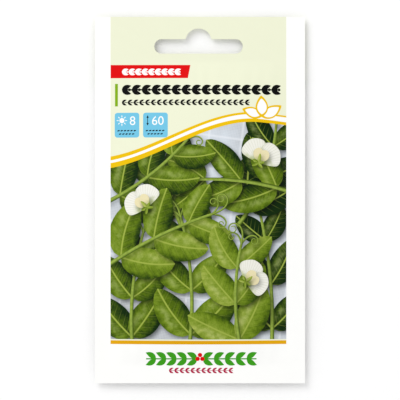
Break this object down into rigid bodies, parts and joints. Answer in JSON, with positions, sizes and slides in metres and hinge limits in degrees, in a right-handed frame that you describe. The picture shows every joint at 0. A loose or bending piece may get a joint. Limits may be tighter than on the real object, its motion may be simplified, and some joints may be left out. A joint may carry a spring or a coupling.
{
  "type": "seed packet",
  "caption": "Flat heat-sealed paper seed packet with a Euro hanging slot in its header, bulged by the dried peas inside.",
  "frame": {"origin": "under the middle of the packet's outline, on the surface that it lies on", "axes": "+X to the right of the printed front, +Y towards the header with the hanging slot, +Z out of the printed front"},
  "size_m": [0.08, 0.1396, 0.0078],
  "materials": {
    "front_paper": "satin coated paper, printed in pale green, red, blue, yellow and leaf green on white",
    "back_paper": "satin coated white paper, printed in green",
    "dried_pea": "matt wrinkled seed skin, pale olive green"
  },
  "bodies": {
    "root": {"front_web": "front_paper", "back_web": "back_paper", "pea_01": "dried_pea", "pea_02": "dried_pea", "pea_03": "dried_pea", "pea_04": "dried_pea", "pea_05": "dried_pea", "pea_06": "dried_pea", "pea_07": "dried_pea", "pea_08": "dried_pea", "pea_09": "dried_pea", "pea_10": "dried_pea", "pea_11": "dried_pea", "pea_12": "dried_pea", "pea_13": "dried_pea", "pea_14": "dried_pea", "pea_15": "dried_pea", "pea_16": "dried_pea", "pea_17": "dried_pea", "pea_18": "dried_pea", "pea_19": "dried_pea", "pea_20": "dried_pea", "pea_21": "dried_pea", "pea_22": "dried_pea", "pea_23": "dried_pea", "pea_24": "dried_pea", "pea_25": "dried_pea", "pea_26": "dried_pea", "pea_27": "dried_pea", "pea_28": "dried_pea", "pea_29": "dried_pea", "pea_30": "dried_pea", "pea_31": "dried_pea", "pea_32": "dried_pea", "pea_33": "dried_pea", "pea_34": "dried_pea", "pea_35": "dried_pea", "pea_36": "dried_pea", "pea_37": "dried_pea", "pea_38": "dried_pea", "pea_39": "dried_pea", "pea_40": "dried_pea"}
  },
  "joints": []
}
